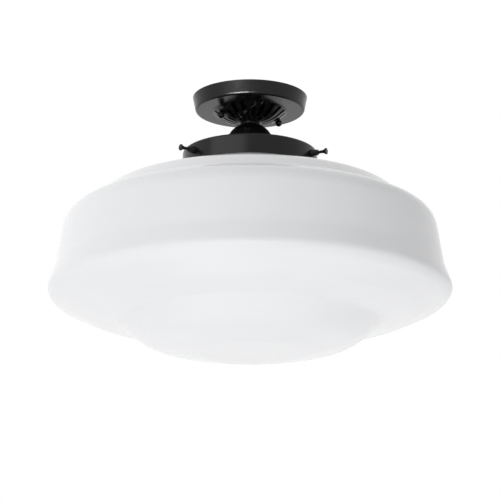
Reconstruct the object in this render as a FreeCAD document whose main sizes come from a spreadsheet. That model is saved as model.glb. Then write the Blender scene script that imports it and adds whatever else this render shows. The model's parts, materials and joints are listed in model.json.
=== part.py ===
import FreeCAD, Part
import math
import os
import re
import Sketcher

# Semi flush ceiling light: vented canopy, neck, bell, six-inch fitter and one wide opal shade.
# The origin is where the fixture's axis meets the ceiling, +Z points up and +X runs through
# the two canopy nuts. Depths are measured down from the ceiling, and sizes are millimetres.

doc = FreeCAD.newDocument("ceiling_light")
dims = doc.addObject("Spreadsheet::Sheet", "dims")

TABLE = [
    # ceiling hardware
    ("plate_gap", 2.4, "mounting plate's edge to the canopy's inside"),
    ("plate_t", 2.0, "mounting plate, thickness"),
    ("plate_hole_r", 6.0, "wire opening in the mounting plate"),
    ("box_slot_y", 44.45, "half the spacing of the ceiling box screws"),
    ("box_slot_w", 2.3, "half width of a box screw slot"),
    ("box_slot_run", 3.2, "slot centre to the centre of its round end"),
    ("stud_x", 36.5, "half the spacing of the canopy studs"),
    ("stud_r", 2.05, "canopy stud"),
    ("stud_reach", 4.7, "stud inside its ball nut"),
    ("stud_nut_af", 8.7, "stud lock nut across flats"),
    ("stud_nut_h", 3.2, "stud lock nut height"),
    ("ground_edge", 18.0, "ground screw from the edge of the wire opening"),
    ("ground_r", 2.05, "ground screw thread"),
    ("ground_head_r", 4.0, "ground screw head"),
    ("ground_head_h", 2.6, "ground screw head height"),
    # canopy
    ("canopy_r", 66.2, "canopy rim at the ceiling"),
    ("canopy_lean", 3.2, "taper of the canopy's wall"),
    ("canopy_h", 16.2, "canopy wall height"),
    ("canopy_edge_r", 3.0, "rounding of the canopy's lower edge"),
    ("dome_edge", 5.1, "dome's foot outward from the studs"),
    ("dome_root_r", 8.0, "rounding between ring and dome"),
    ("dome_slope_w", 17.8, "width of the dome's slope"),
    ("dome_round_r", 34.0, "rounding of the dome"),
    ("dome_h", 14.4, "dome height below the flat ring"),
    ("sheet_t", 1.2, "canopy and bell sheet"),
    ("vent_count", 20, "vent slots if every place had one"),
    ("vent_in_gap", 3.7, "inner end of a vent slot from the neck ring"),
    ("vent_in_w", 1.1, "half width of a vent slot at its inner end"),
    ("vent_out_gap", 3.6, "outer end of a vent slot from the dome's foot"),
    ("vent_out_w", 3.0, "half width of a vent slot at its outer end"),
    ("vent_short_gap", 10.5, "outer end of a short slot from its stud"),
    ("vent_short_w", 2.0, "half width at that end"),
    ("stud_hole_gap", 0.35, "stud to its hole in the canopy"),
    ("ball_r", 4.0, "ball nut"),
    ("ball_flat_r", 2.8, "flat on top of a ball nut"),
    ("ball_bore_gap", 0.09, "running clearance between stud and ball nut"),
    ("ball_bore_depth", 5.6, "blind bore of a ball nut"),
    # central tube, neck and bell
    ("nipple_r", 5.1, "central threaded tube"),
    ("nipple_bore_r", 3.5, "its wire way"),
    ("nipple_gap", 0.3, "central tube to the holes it passes"),
    ("nipple_stub", 2.5, "central tube above its upper lock nut"),
    ("lock_nut_af", 14.2, "tube lock nut across flats"),
    ("lock_nut_h", 3.6, "tube lock nut height"),
    ("washer_r", 8.6, "lock washer"),
    ("washer_t", 0.9, "washer thickness"),
    ("neck_r", 11.3, "neck ring"),
    ("neck_h", 2.6, "neck ring height"),
    ("bell_r", 28.5, "bell"),
    ("bell_h", 33.8, "bell height"),
    ("bell_flat_r", 11.0, "flat on top of the bell"),
    # fitter
    ("cup_room", 1.4, "shade's lip to the inside of the fitter cup"),
    ("cup_t", 1.3, "fitter cup sheet"),
    ("cup_h", 23.0, "fitter cup height"),
    ("cup_edge_r", 2.5, "rounding of the fitter cup's top edge"),
    ("screw_drop", 10.0, "thumb screws below the fitter cup's top"),
    ("screw_deg", 71.0, "bearing of the first thumb screw"),
    ("screw_count", 3, "thumb screws"),
    ("screw_r", 1.8, "thumb screw shank"),
    ("screw_gap", 0.06, "running clearance in its boss"),
    ("boss_base_r", 4.3, "boss where it leaves the cup"),
    ("boss_tip_r", 3.1, "boss at its outer end"),
    ("boss_shoulder", 0.3, "boss tip beyond the boss's shank in the cup's hole"),
    ("boss_len", 8.0, "boss outside the cup"),
    ("shank_show", 5.0, "thumb screw shank between its boss and its head"),
    ("head_len", 5.5, "thumb screw head length"),
    ("head_r", 3.7, "thumb screw head"),
    ("tip_gap", 0.2, "thumb screw tip to the shade's neck"),
    # shade
    ("glass_t", 3.5, "shade wall"),
    ("shade_neck_r", 72.0, "shade neck"),
    ("shade_neck_h", 27.5, "shade neck height"),
    ("lip_w", 2.8, "lip outward from the shade's neck"),
    ("lip_h", 4.2, "lip height"),
    ("lip_round_r", 1.2, "rounding of the lip"),
    ("cap_root_r", 4.0, "rounding between neck and cap"),
    ("cap_drop", 20.0, "fall of the cap"),
    ("cap_round_r", 29.0, "rounding of the cap"),
    ("cove_w", 18.5, "width from the cap to the cove"),
    ("cove_drop", 17.1, "fall from the cap to the cove"),
    ("cove_round_r", 15.0, "rounding of the cove"),
    ("shoulder_w", 28.1, "width from the cove to the drum's shoulder"),
    ("shoulder_drop", 10.8, "fall from the cove to the shoulder"),
    ("shoulder_round_r", 27.0, "rounding of the shoulder"),
    ("drum_lean", 9.5, "taper of the drum"),
    ("drum_h", 61.0, "drum height"),
    ("waist_round_r", 37.0, "rounding at the drum's foot"),
    ("flare_w", 9.4, "flare from the drum's foot to the rim"),
    ("flare_h", 25.5, "height of the flare"),
    ("rim_r", 229.7, "corner of the widest rim"),
    ("rim_round_r", 9.5, "rounding of the rim"),
    ("curl_w", 7.4, "width of the curl under the rim"),
    ("curl_drop", 9.5, "fall of the curl"),
    ("curl_round_r", 21.6, "rounding of the curl"),
    ("sweep_w", 33.6, "width of the underside's outer part"),
    ("sweep_drop", 15.4, "its fall"),
    ("sweep_round_r", 70.0, "rounding of the underside"),
    ("under_w", 40.1, "width of the underside's inner part"),
    ("under_drop", 9.7, "its fall"),
    ("step_round_r", 10.0, "rounding of the step round the bowl"),
    ("bowl_w", 29.5, "width of the bowl's side"),
    ("bowl_drop", 22.9, "its fall"),
    ("bowl_round_r", 65.0, "rounding of the bowl"),
    ("base_w", 59.1, "width from the bowl's side to its floor"),
    ("base_drop", 12.6, "its fall"),
    ("base_round_r", 60.0, "rounding of the bowl's floor"),
    # socket
    ("cap_t", 0.9, "socket cap sheet"),
    ("collar_w", 2.3, "wall of the socket cap's threaded collar"),
    ("collar_gap", 4.4, "fitter lock nut to the collar"),
    ("collar_h", 5.8, "collar height"),
    ("socket_cap_r", 20.4, "socket cap"),
    ("socket_cap_h", 17.0, "socket cap height"),
    ("terminal_room", 10.0, "socket cap's top to the porcelain"),
    ("porcelain_floor_t", 4.0, "porcelain above the lamp chamber"),
    ("chamber_h", 29.0, "depth of the lamp chamber"),
    ("skirt_w", 1.1, "porcelain's skirt beyond the cap"),
    ("shell_r", 13.7, "screw shell outside"),
    ("shell_t", 0.45, "screw shell sheet"),
    ("shell_h", 24.0, "screw shell height"),
    ("strap_t", 0.8, "contact strap thickness"),
    ("strap_w", 3.0, "contact strap half width"),
    ("leg_y", 8.0, "shell strap's leg from the axis"),
    ("terminal_gap", 4.4, "terminal screws from the leg"),
    ("terminal_r", 1.7, "terminal screw thread"),
    ("terminal_head_r", 3.1, "terminal screw head"),
    ("terminal_head_h", 2.2, "terminal screw head height"),
    ("contact_r", 5.0, "centre contact disc"),
    ("contact_stem_r", 2.0, "centre contact rivet"),
    # lamp
    ("lamp_gap", 0.08, "running clearance between lamp cap and screw shell"),
    ("lamp_tip_h", 3.7, "lamp's end contact and insulator"),
    ("lamp_cap_h", 22.5, "lamp cap height"),
    ("lamp_cap_t", 0.35, "lamp cap sheet"),
    ("button_r", 4.2, "lamp's end contact"),
    ("button_h", 1.4, "its height"),
    ("lamp_neck_h", 9.0, "bulb neck below the lamp cap"),
    ("lamp_swell_h", 35.0, "bulb from its neck to its shoulder"),
    ("lamp_r", 30.0, "bulb"),
    ("lamp_round_h", 8.0, "bulb below its shoulder, less its radius"),
    ("bulb_t", 0.9, "bulb wall"),
    ("stem_r", 4.5, "bulb stem"),
    ("stem_h", 22.0, "bulb stem below the lamp cap"),
    ("wire_r", 0.4, "filament support wire"),
    ("filament_drop", 22.0, "filament below its stem"),
    ("filament_x", 14.0, "half length of the filament"),
    # wiring
    ("lead_r", 1.0, "lead wire over its insulation"),
    ("lead_y", 1.6, "lead wires from the axis inside the tube"),
    ("lead_bend_r", 3.0, "bend of a lead"),
    ("lead_rise", 10.8, "leads above the central tube"),
    ("nut_in_y", 22.0, "wire connector's mouth from the axis"),
    ("nut_len", 17.0, "wire connector length"),
    ("nut_mouth_r", 4.7, "wire connector at its mouth"),
    ("nut_end_r", 3.2, "wire connector at its end"),
    ("nut_depth", 9.0, "lead inside its connector"),
    ("ground_gap", 1.0, "ground connector below the ground lead's start"),
]

dims.set("A1", "meaning")
dims.set("B1", "value in mm, degrees or pieces")
for row, (alias, value, meaning) in enumerate(TABLE, start=2):
    dims.set("A%d" % row, meaning)
    dims.set("B%d" % row, str(value))
    dims.setAlias("B%d" % row, alias)
doc.recompute()


def bound(expression):
    """An expression in the table's short names, as the document reads it."""
    names = r"\b(?!(?:sin|cos|tan|sqrt)\b)([a-z][a-z0-9_]*)\b"
    return re.sub(names, r"dims.\1", str(expression))


def val(expression):
    """The value an expression has now."""
    return float(dims.evalExpression(bound(expression)))


def is_driven(expression):
    """True where an expression names a size of the table."""
    return re.search(r"[a-z]{2}", str(expression)) is not None


def drive(thing, target, expression):
    """Sets a property and keeps it tied to the table."""
    if is_driven(expression):
        thing.setExpression(target, bound(expression))
    elif isinstance(getattr(thing, target), int):
        setattr(thing, target, round(val(expression)))
    else:
        setattr(thing, target, val(expression))


def new_body(label):
    body = doc.addObject("PartDesign::Body", label)
    body.Label = label
    return body


def plane_of(body, role):
    return [f for f in body.Origin.OriginFeatures if f.Role == role][0]


def new_sketch(body, name, role, height=None):
    sketch = body.newObject("Sketcher::SketchObject", name)
    sketch.AttachmentSupport = [(plane_of(body, role), "")]
    sketch.MapMode = "FlatFace"
    if height is not None:
        sketch.setExpression("AttachmentOffset.Base.z", bound(height))
    return sketch


def hold(sketch, kind, *where):
    """Adds a dimension whose last item is an expression."""
    *place, expression = where
    number = sketch.addConstraint(Sketcher.Constraint(kind, *place, val(expression)))
    if is_driven(expression):
        sketch.setExpression("Constraints[%d]" % number, bound(expression))


def pin_point(sketch, geometry, end, x, y):
    hold(sketch, "DistanceX", -1, 1, geometry, end, x)
    hold(sketch, "DistanceY", -1, 1, geometry, end, y)


def arc_between(start, end, radius):
    """Arc of the given radius; a positive radius bulges to the left of the way from start to end."""
    chord = end - start
    across = FreeCAD.Vector(-chord.y, chord.x, 0)
    across.normalize()
    rise = abs(radius) - math.sqrt(radius ** 2 - (chord.Length / 2) ** 2)
    middle = (start + end) * 0.5 + across * math.copysign(rise, radius)
    return Part.Arc(start, middle, end)


def outline(sketch, corners, closed=True):
    """Lines and arcs through corners.

    A corner is (x, y), (x, y, rounding) or (x, y, None, arc), where arc is the radius of the
    side that follows, or "half" for an end that rounds off the side before it. A positive arc
    bulges to the left of the way round.
    """
    count = len(corners)
    at = [FreeCAD.Vector(val(c[0]), val(c[1]), 0) for c in corners]
    rounding = [c[2] if len(c) > 2 else None for c in corners]
    curved = [c[3] if len(c) > 3 else None for c in corners]
    reach = list(at)
    leave = list(at)
    centre = [None] * count
    for i in range(count):
        if rounding[i] is None:
            continue
        back = (at[i - 1] - at[i]).normalize()
        ahead = (at[(i + 1) % count] - at[i]).normalize()
        half = back.getAngle(ahead) / 2
        reach[i] = at[i] + back * (val(rounding[i]) / math.tan(half))
        leave[i] = at[i] + ahead * (val(rounding[i]) / math.tan(half))
        centre[i] = at[i] + (back + ahead).normalize() * (val(rounding[i]) / math.sin(half))
    sides = count if closed else count - 1
    side = []
    first = []
    last = []
    for i in range(sides):
        start = leave[i]
        end = reach[(i + 1) % count]
        if curved[i] is None:
            geometry = Part.LineSegment(start, end)
        elif curved[i] == "half":
            geometry = arc_between(start, end, (end - start).Length / 2)
        else:
            geometry = arc_between(start, end, val(curved[i]))
        side.append(sketch.addGeometry(geometry, False))
        backward = (sketch.getPoint(side[i], 1) - start).Length > 1e-6
        first.append(2 if backward else 1)
        last.append(1 if backward else 2)
    for i in range(count):
        x, y = corners[i][:2]
        if not closed and i == count - 1:
            pin_point(sketch, side[i - 1], last[i - 1], x, y)
        elif not closed and i == 0:
            pin_point(sketch, side[0], first[0], x, y)
        elif rounding[i] is None:
            joint = "Tangent" if curved[i] == "half" else "Coincident"
            sketch.addConstraint(Sketcher.Constraint(joint, side[i - 1], last[i - 1], side[i], first[i]))
            pin_point(sketch, side[i], first[i], x, y)
        else:
            middle = centre[i] + (at[i] - centre[i]).normalize() * val(rounding[i])
            bend = sketch.addGeometry(Part.Arc(reach[i], middle, leave[i]), False)
            backward = (sketch.getPoint(bend, 1) - reach[i]).Length > 1e-6
            near, far = (2, 1) if backward else (1, 2)
            sketch.addConstraint(Sketcher.Constraint("Tangent", side[i - 1], last[i - 1], bend, near))
            sketch.addConstraint(Sketcher.Constraint("Tangent", bend, far, side[i], first[i]))
            hold(sketch, "Radius", bend, rounding[i])
            corner = sketch.addGeometry(Part.Point(at[i]), True)
            pin_point(sketch, corner, 1, x, y)
            sketch.addConstraint(Sketcher.Constraint("PointOnObject", corner, 1, side[i - 1]))
            sketch.addConstraint(Sketcher.Constraint("PointOnObject", corner, 1, side[i]))
    for i in range(sides):
        if curved[i] is not None and curved[i] != "half":
            hold(sketch, "Radius", side[i], curved[i].lstrip("-"))


def ring(sketch, x, y, radius):
    """Circle of an outline."""
    centre = FreeCAD.Vector(val(x), val(y), 0)
    circle = sketch.addGeometry(Part.Circle(centre, FreeCAD.Vector(0, 0, 1), val(radius)), False)
    pin_point(sketch, circle, 3, x, y)
    hold(sketch, "Radius", circle, radius)


def draw(sketch, loops):
    """Loops are lists of corners or (x, y, radius) circles."""
    for loop in loops:
        if isinstance(loop, tuple):
            ring(sketch, *loop)
        else:
            outline(sketch, loop)


def turn(body, name, corners, role="XZ_Plane", level=None, upright=None, cut=False):
    """Solid of revolution about the body's Z axis, a level line at a height or an upright one."""
    sketch = new_sketch(body, name + "_profile", role)
    outline(sketch, corners)
    axis = "V_Axis"
    if level is not None or upright is not None:
        x = upright or "0"
        y = level or "0"
        start = FreeCAD.Vector(val(x), val(y), 0)
        length = val("stud_x")
        along = FreeCAD.Vector(length, 0, 0) if upright is None else FreeCAD.Vector(0, length, 0)
        line = sketch.addGeometry(Part.LineSegment(start, start + along), True)
        pin_point(sketch, line, 1, x, y)
        straight = "Horizontal" if upright is None else "Vertical"
        sketch.addConstraint(Sketcher.Constraint(straight, line))
        hold(sketch, "Distance", line, "stud_x")
        axis = "Axis0"
    feature = body.newObject("PartDesign::Groove" if cut else "PartDesign::Revolution", name)
    feature.Profile = sketch
    feature.ReferenceAxis = (sketch, [axis])
    feature.Angle = 360
    doc.recompute()
    return feature


def pad(body, name, loops, top, depth):
    """Flat piece that hangs down from a height."""
    sketch = new_sketch(body, name + "_profile", "XY_Plane", top)
    draw(sketch, loops)
    feature = body.newObject("PartDesign::Pad", name)
    feature.Profile = sketch
    feature.Reversed = True
    drive(feature, "Length", depth)
    doc.recompute()
    return feature


def pierce(body, name, loops, top=None, depth=None):
    """Cut straight through the body, or downward from a height to a depth."""
    sketch = new_sketch(body, name + "_profile", "XY_Plane", top)
    draw(sketch, loops)
    before = body.Tip.Shape.Volume
    feature = body.newObject("PartDesign::Pocket", name)
    feature.Profile = sketch
    if depth is None:
        feature.SideType = "Symmetric"
        feature.Type = "ThroughAll"
    else:
        drive(feature, "Length", depth)
    doc.recompute()
    if feature.Shape.Volume > before - 0.01:
        raise RuntimeError(name + " removes nothing")
    return feature


def hollow(body, name, wall, open_top):
    """Leaves a wall inside the body's last solid, open at its highest or lowest flat face."""
    base = body.Tip
    flats = []
    for number, face in enumerate(base.Shape.Faces, start=1):
        if face.Surface.TypeId == "Part::GeomPlane" and abs(face.normalAt(0, 0).z) > 0.99:
            flats.append((face.CenterOfMass.z, number))
    chosen = max(flats) if open_top else min(flats)
    feature = body.newObject("PartDesign::Thickness", name)
    feature.Base = (base, ["Face%d" % chosen[1]])
    feature.Reversed = True
    feature.Join = "Arc"
    drive(feature, "Value", wall)
    doc.recompute()
    if feature.Shape.Volume > base.Shape.Volume - 0.01:
        raise RuntimeError(name + " does not hollow its solid")
    return feature


def repeat_round(body, name, originals, count, angle):
    """Repeats features about the body's Z axis; the angle is from the first to the last."""
    feature = body.newObject("PartDesign::PolarPattern", name)
    feature.Originals = originals
    feature.Axis = (plane_of(body, "Z_Axis"), [""])
    drive(feature, "Angle", angle)
    drive(feature, "Occurrences", count)
    body.Tip = feature
    doc.recompute()
    return feature


def pipe(body, name, path, start_plane, start_height, radius):
    """Round wire along an open path on the body's own YZ or XZ plane."""
    role = "YZ_Plane" if start_plane != "YZ_Plane" else "XZ_Plane"
    spine = new_sketch(body, name + "_path", role)
    outline(spine, path, closed=False)
    section = new_sketch(body, name + "_section", start_plane, start_height)
    if start_plane == "XY_Plane":
        where = (path[0][0], "0") if role == "XZ_Plane" else ("0", path[0][0])
    else:
        where = ("0", path[0][1])
    ring(section, where[0], where[1], radius)
    feature = body.newObject("PartDesign::AdditivePipe", name)
    feature.Profile = section
    feature.Spine = (spine, [])
    doc.recompute()
    return feature


def hexagon(flats, x="0"):
    """Corners of a hexagon with the given size across flats."""
    half = "%s / 2" % flats
    side = "%s * 0.288675" % flats
    point = "%s * 0.577350" % flats
    return [
        ("%s + %s" % (x, half), side),
        ("%s + 0" % x, point),
        ("%s - %s" % (x, half), side),
        ("%s - %s" % (x, half), "-" + side),
        ("%s + 0" % x, "-" + point),
        ("%s + %s" % (x, half), "-" + side),
    ]


def block(x, low_y, high_y):
    """Corners of a rectangle that is centred on Y's own line."""
    return [("-" + x, low_y), (x, low_y), (x, high_y), ("-" + x, high_y)]


def place(body, x=None, degrees=None):
    """Sets a body off along X, or turned about Z."""
    if x is not None:
        body.setExpression("Placement.Base.x", bound(x))
    if degrees is not None:
        body.setExpression("Placement.Rotation.Angle", bound(degrees))


# ---------------------------------------------------------------- places from the table

# Radii are from the fixture's axis, and names that end in _Z are depths below the ceiling.
PLATE_R = "(canopy_r - sheet_t - plate_gap)"
GROUND_X = "(plate_hole_r + ground_edge)"

DOME_R = "(stud_x + dome_edge)"
DOME_LOW_R = "(%s - dome_slope_w)" % DOME_R
DOME_Z = "(canopy_h + dome_h)"
SLOPE = "(dome_h / dome_slope_w)"
VENT_IN_R = "(neck_r + vent_in_gap)"
VENT_OUT_R = "(%s - vent_out_gap)" % DOME_R
VENT_SHORT_R = "(stud_x - vent_short_gap)"
BALL_Z = "(canopy_h + dome_edge * %s + ball_r * sqrt(1 + %s ^ 2))" % (SLOPE, SLOPE)
BALL_TOP_Z = "(%s - sqrt(ball_r ^ 2 - ball_flat_r ^ 2))" % BALL_Z
STUD_END_Z = "(%s + stud_reach)" % BALL_TOP_Z

BELL_Z = "(%s + neck_h)" % DOME_Z
CUP_Z = "(%s + bell_h)" % BELL_Z
SCREW_Z = "(%s + screw_drop)" % CUP_Z
LIP_LOW_Z = "(%s - screw_r)" % SCREW_Z
LIP_R = "(shade_neck_r + lip_w)"
CUP_R = "(%s + cup_room + cup_t)" % LIP_R
BOSS_OUT_R = "(%s + boss_len)" % CUP_R
HEAD_IN_R = "(%s + shank_show)" % BOSS_OUT_R
HEAD_OUT_R = "(%s + head_len)" % HEAD_IN_R

NIPPLE_HOLE_R = "(nipple_r + nipple_gap)"
NIPPLE_TOP_Z = "(%s - sheet_t - washer_t - lock_nut_h - nipple_stub)" % DOME_Z
COLLAR_R = "(nipple_r + collar_w)"
COLLAR_Z = "(%s + cup_t + washer_t + lock_nut_h + collar_gap)" % CUP_Z
SOCKET_CAP_Z = "(%s + collar_h)" % COLLAR_Z
PORCELAIN_Z = "(%s + terminal_room)" % SOCKET_CAP_Z
FLOOR_Z = "(%s + porcelain_floor_t)" % PORCELAIN_Z
PORCELAIN_END_Z = "(%s + chamber_h)" % FLOOR_Z
SHELL_END_Z = "(%s + shell_h)" % FLOOR_Z
SKIRT_R = "(socket_cap_r + skirt_w)"
TERMINAL_Y = "(leg_y + strap_t + terminal_gap)"
LAMP_CAP_Z = "(%s + strap_t + lamp_tip_h)" % FLOOR_Z
LAMP_NECK_Z = "(%s + lamp_cap_h + lamp_neck_h)" % LAMP_CAP_Z
LAMP_WIDE_Z = "(%s + lamp_swell_h)" % LAMP_NECK_Z
LAMP_END_Z = "(%s + lamp_r + lamp_round_h)" % LAMP_WIDE_Z
STEM_Z = "(%s + lamp_cap_h + stem_h)" % LAMP_CAP_Z
FILAMENT_Z = "(%s + filament_drop)" % STEM_Z
LEAD_TOP_Z = "(%s - lead_rise)" % NIPPLE_TOP_Z

# The shade's corners, inward and outward from its widest rim and downward from its lip.
WAIST_R = "(rim_r - flare_w)"
SHOULDER_R = "(%s - drum_lean)" % WAIST_R
COVE_R = "(%s - shoulder_w)" % SHOULDER_R
CAP_R = "(%s - cove_w)" % COVE_R
CURL_R = "(rim_r - curl_w)"
SWEEP_R = "(%s - sweep_w)" % CURL_R
STEP_R = "(%s - under_w)" % SWEEP_R
BOWL_R = "(%s - bowl_w)" % STEP_R
BASE_R = "(%s - base_w)" % BOWL_R
SHADE_TOP_Z = "(%s - lip_h)" % LIP_LOW_Z
CAP_TOP_Z = "(%s + shade_neck_h)" % SHADE_TOP_Z
CAP_Z = "(%s + cap_drop)" % CAP_TOP_Z
COVE_Z = "(%s + cove_drop)" % CAP_Z
SHOULDER_Z = "(%s + shoulder_drop)" % COVE_Z
WAIST_Z = "(%s + drum_h)" % SHOULDER_Z
RIM_Z = "(%s + flare_h)" % WAIST_Z
CURL_Z = "(%s + curl_drop)" % RIM_Z
SWEEP_Z = "(%s + sweep_drop)" % CURL_Z
STEP_Z = "(%s + under_drop)" % SWEEP_Z
BOWL_Z = "(%s + bowl_drop)" % STEP_Z
BASE_Z = "(%s + base_drop)" % BOWL_Z

# ---------------------------------------------------------------- ceiling hardware

# Mounting plate against the ceiling box: two slots for the box's screws, a wire opening,
# two tapped stud holes and a tapped ground hole.
plate = new_body("mounting_plate")
pad(plate, "plate_disc", [("0", "0", PLATE_R), ("0", "0", "plate_hole_r")], "0", "plate_t")
slot_near = "box_slot_y - box_slot_run"
slot_far = "box_slot_y + box_slot_run"
slot = pierce(plate, "box_slot", [[
    ("-box_slot_w", slot_near),
    ("-box_slot_w", slot_far, None, "half"),
    ("box_slot_w", slot_far),
    ("box_slot_w", slot_near, None, "half"),
]])
repeat_round(plate, "box_slots", [slot], "2", "180")
pierce(plate, "stud_threads", [("stud_x", "0", "stud_r"), ("-stud_x", "0", "stud_r")])
pierce(plate, "ground_thread", [("-%s" % GROUND_X, "0", "ground_r")])

# Two threaded studs stand down from the plate, each locked by a hexagon nut.
studs = new_body("canopy_studs")
stud = turn(studs, "stud", [
    ("stud_x", "0"),
    ("stud_x + stud_r", "0"),
    ("stud_x + stud_r", "-%s" % STUD_END_Z, "stud_r / 3"),
    ("stud_x", "-%s" % STUD_END_Z),
], upright="stud_x")
repeat_round(studs, "both_studs", [stud], "2", "180")

stud_nuts = new_body("stud_lock_nuts")
stud_nut = pad(
    stud_nuts, "stud_nut", [hexagon("stud_nut_af", "stud_x"), ("stud_x", "0", "stud_r")],
    "-plate_t", "stud_nut_h",
)
repeat_round(stud_nuts, "both_stud_nuts", [stud_nut], "2", "180")

# Ground screw, slotted, with its head under the plate.
GROUND_LOW = "plate_t + ground_head_h"
ground_screw = new_body("ground_screw")
turn(ground_screw, "ground_screw_turned", [
    ("0", "0"),
    ("ground_r", "0"),
    ("ground_r", "-plate_t"),
    ("ground_head_r", "-plate_t"),
    ("ground_head_r", "-(%s)" % GROUND_LOW, "ground_head_h / 4"),
    ("0", "-(%s)" % GROUND_LOW),
])
pierce(
    ground_screw, "ground_slot", [block("ground_head_r * 1.2", "-ground_head_r / 8", "ground_head_r / 8")],
    "-(%s) + ground_head_h / 3" % GROUND_LOW, "ground_head_h",
)
place(ground_screw, x="-%s" % GROUND_X)

# ---------------------------------------------------------------- canopy

# Pressed canopy: slightly tapered wall, flat ring, and a dome with radial vent slots. It is
# formed with a rib on its own X axis and then turned back, so that slots meet the two studs.
STEP = "360 / vent_count"
HALF_STEP = "180 / vent_count"
STUD_HOLE_R = "stud_r + stud_hole_gap"
canopy = new_body("canopy")
turn(canopy, "canopy_form", [
    ("0", "0"),
    ("canopy_r", "0"),
    ("canopy_r - canopy_lean", "-canopy_h", "canopy_edge_r"),
    (DOME_R, "-canopy_h", "dome_root_r"),
    (DOME_LOW_R, "-%s" % DOME_Z, "dome_round_r"),
    ("0", "-%s" % DOME_Z),
])
hollow(canopy, "canopy_sheet", "sheet_t", True)
pierce(canopy, "canopy_holes", [
    ("0", "0", NIPPLE_HOLE_R),
    ("stud_x * cos(%s)" % HALF_STEP, "stud_x * sin(%s)" % HALF_STEP, STUD_HOLE_R),
    ("0 - stud_x * cos(%s)" % HALF_STEP, "0 - stud_x * sin(%s)" % HALF_STEP, STUD_HOLE_R),
])


def vent(bearing, far, far_w):
    """Corners of a slot that widens outward along a bearing and has rounded ends."""
    def corner(reach, across):
        return (
            "%s * cos(%s) - %s * sin(%s)" % (reach, bearing, across, bearing),
            "%s * sin(%s) + %s * cos(%s)" % (reach, bearing, across, bearing),
        )
    return [
        corner(VENT_IN_R, "vent_in_w"),
        corner(far, far_w) + (None, "half"),
        corner(far, "(0 - %s)" % far_w),
        corner(VENT_IN_R, "(0 - vent_in_w)") + (None, "half"),
    ]


long_vents = pierce(canopy, "long_vents", [
    vent("(%s * 1.5)" % STEP, VENT_OUT_R, "vent_out_w"),
    vent("(%s * 1.5 + 180)" % STEP, VENT_OUT_R, "vent_out_w"),
])
repeat_round(
    canopy, "all_long_vents", [long_vents],
    "vent_count / 2 - 1", "%s * (vent_count / 2 - 2)" % STEP,
)
pierce(canopy, "short_vents", [
    vent("(%s)" % HALF_STEP, VENT_SHORT_R, "vent_short_w"),
    vent("(%s + 180)" % HALF_STEP, VENT_SHORT_R, "vent_short_w"),
])
place(canopy, degrees="-%s" % HALF_STEP)

# Ball nuts hold the canopy up on the studs; each bears on the dome's slope beside its hole.
BALL_BORE = "stud_r + ball_bore_gap"
for number, sign in ((1, ""), (2, "-")):
    ball_nut = new_body("ball_nut_%d" % number)
    turn(ball_nut, "ball_%d" % number, [
        ("0", "-%s - ball_bore_depth" % BALL_TOP_Z),
        (BALL_BORE, "-%s - ball_bore_depth" % BALL_TOP_Z),
        (BALL_BORE, "-%s" % BALL_TOP_Z),
        ("ball_flat_r", "-%s" % BALL_TOP_Z, None, "ball_r"),
        ("0", "-%s - ball_r" % BALL_Z),
    ])
    place(ball_nut, x=sign + "stud_x")

# ---------------------------------------------------------------- central tube and its stack

nipple = new_body("nipple")
turn(nipple, "nipple_tube", [
    ("nipple_bore_r", "-%s" % NIPPLE_TOP_Z),
    ("nipple_r", "-%s" % NIPPLE_TOP_Z),
    ("nipple_r", "-%s" % SOCKET_CAP_Z),
    ("nipple_bore_r", "-%s" % SOCKET_CAP_Z),
])


def washer(label, top):
    body = new_body(label)
    pad(body, label + "_disc", [("0", "0", "washer_r"), ("0", "0", NIPPLE_HOLE_R)], top, "washer_t")


def lock_nut(label, top):
    body = new_body(label)
    pad(body, label + "_hexagon", [hexagon("lock_nut_af"), ("0", "0", "nipple_r")], top, "lock_nut_h")


DOME_INSIDE = "-%s + sheet_t" % DOME_Z
washer("canopy_washer", "%s + washer_t" % DOME_INSIDE)
lock_nut("canopy_lock_nut", "%s + washer_t + lock_nut_h" % DOME_INSIDE)

neck = new_body("neck_ring")
turn(neck, "neck_ring_turned", [
    (NIPPLE_HOLE_R, "-%s" % DOME_Z),
    ("neck_r", "-%s" % DOME_Z, "neck_h / 5"),
    ("neck_r", "-%s" % BELL_Z, "neck_h / 5"),
    (NIPPLE_HOLE_R, "-%s" % BELL_Z),
])

bell = new_body("bell")
turn(bell, "bell_form", [
    ("0", "-%s" % BELL_Z),
    ("bell_flat_r", "-%s" % BELL_Z, None, "bell_r"),
    ("bell_r", "-%s - sqrt(bell_r ^ 2 - bell_flat_r ^ 2)" % BELL_Z),
    ("bell_r", "-%s" % CUP_Z),
    ("0", "-%s" % CUP_Z),
])
hollow(bell, "bell_sheet", "sheet_t", False)
pierce(bell, "bell_hole", [("0", "0", NIPPLE_HOLE_R)])

# ---------------------------------------------------------------- fitter

# Fitter cup with three staked bosses; the thumb screws run in the bosses and hold the shade.
BOSS_SHANK = "(boss_tip_r - boss_shoulder)"
SCREW_LEVEL = "-%s" % SCREW_Z
cup = new_body("fitter_cup")
turn(cup, "cup_form", [
    ("0", "-%s" % CUP_Z),
    (CUP_R, "-%s" % CUP_Z, "cup_edge_r"),
    (CUP_R, "-%s - cup_h" % CUP_Z),
    ("0", "-%s - cup_h" % CUP_Z),
])
hollow(cup, "cup_sheet", "cup_t", False)
pierce(cup, "cup_hole", [("0", "0", NIPPLE_HOLE_R)])
boss_hole = turn(cup, "boss_hole", [
    ("%s - cup_t * 3" % CUP_R, SCREW_LEVEL),
    ("%s + cup_t * 3" % CUP_R, SCREW_LEVEL),
    ("%s + cup_t * 3" % CUP_R, "%s + %s" % (SCREW_LEVEL, BOSS_SHANK)),
    ("%s - cup_t * 3" % CUP_R, "%s + %s" % (SCREW_LEVEL, BOSS_SHANK)),
], level=SCREW_LEVEL, cut=True)
repeat_round(cup, "boss_holes", [boss_hole], "screw_count", "360")
place(cup, degrees="screw_deg")

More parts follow.
